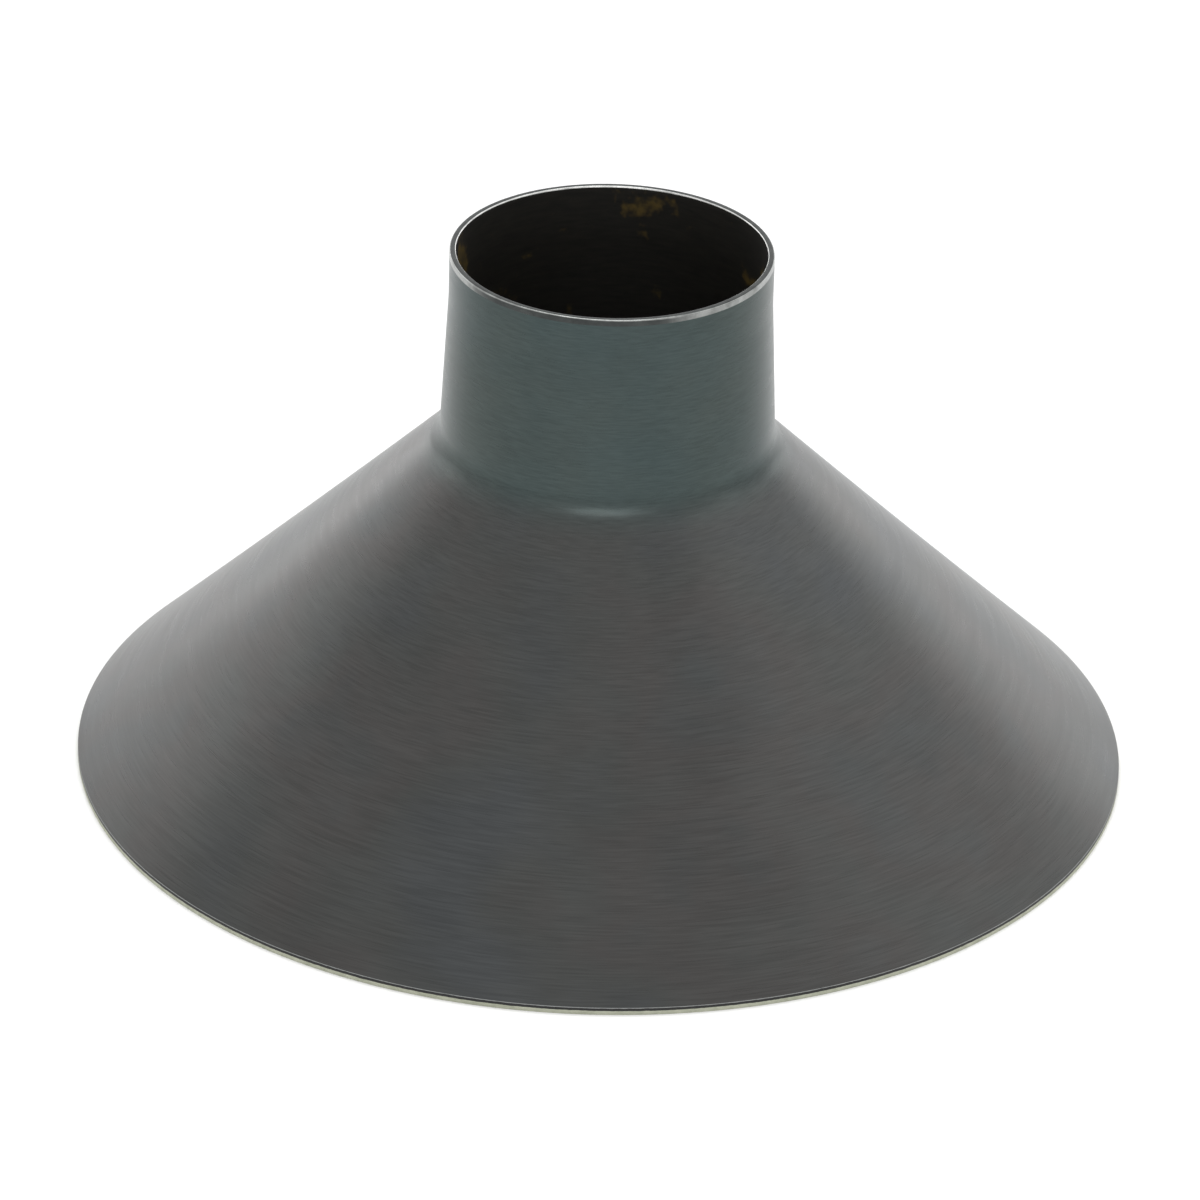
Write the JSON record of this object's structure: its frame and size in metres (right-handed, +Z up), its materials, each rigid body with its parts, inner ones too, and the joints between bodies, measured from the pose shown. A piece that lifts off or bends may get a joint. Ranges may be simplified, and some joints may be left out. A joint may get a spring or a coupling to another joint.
{
  "type": "lampshade",
  "caption": "Spun sheet-metal cone lampshade with a short round collar at the top and a wide open mouth.",
  "frame": {"origin": "centre of the mouth's edge, on the plane the shade rests on", "axes": "+Z up along the axis of the spinning, from the mouth to the collar"},
  "size_m": [0.19, 0.19, 0.0995],
  "materials": {
    "patinated_brass": "brushed, blackened patina"
  },
  "bodies": {
    "root": {"shade": "patinated_brass"}
  },
  "joints": []
}
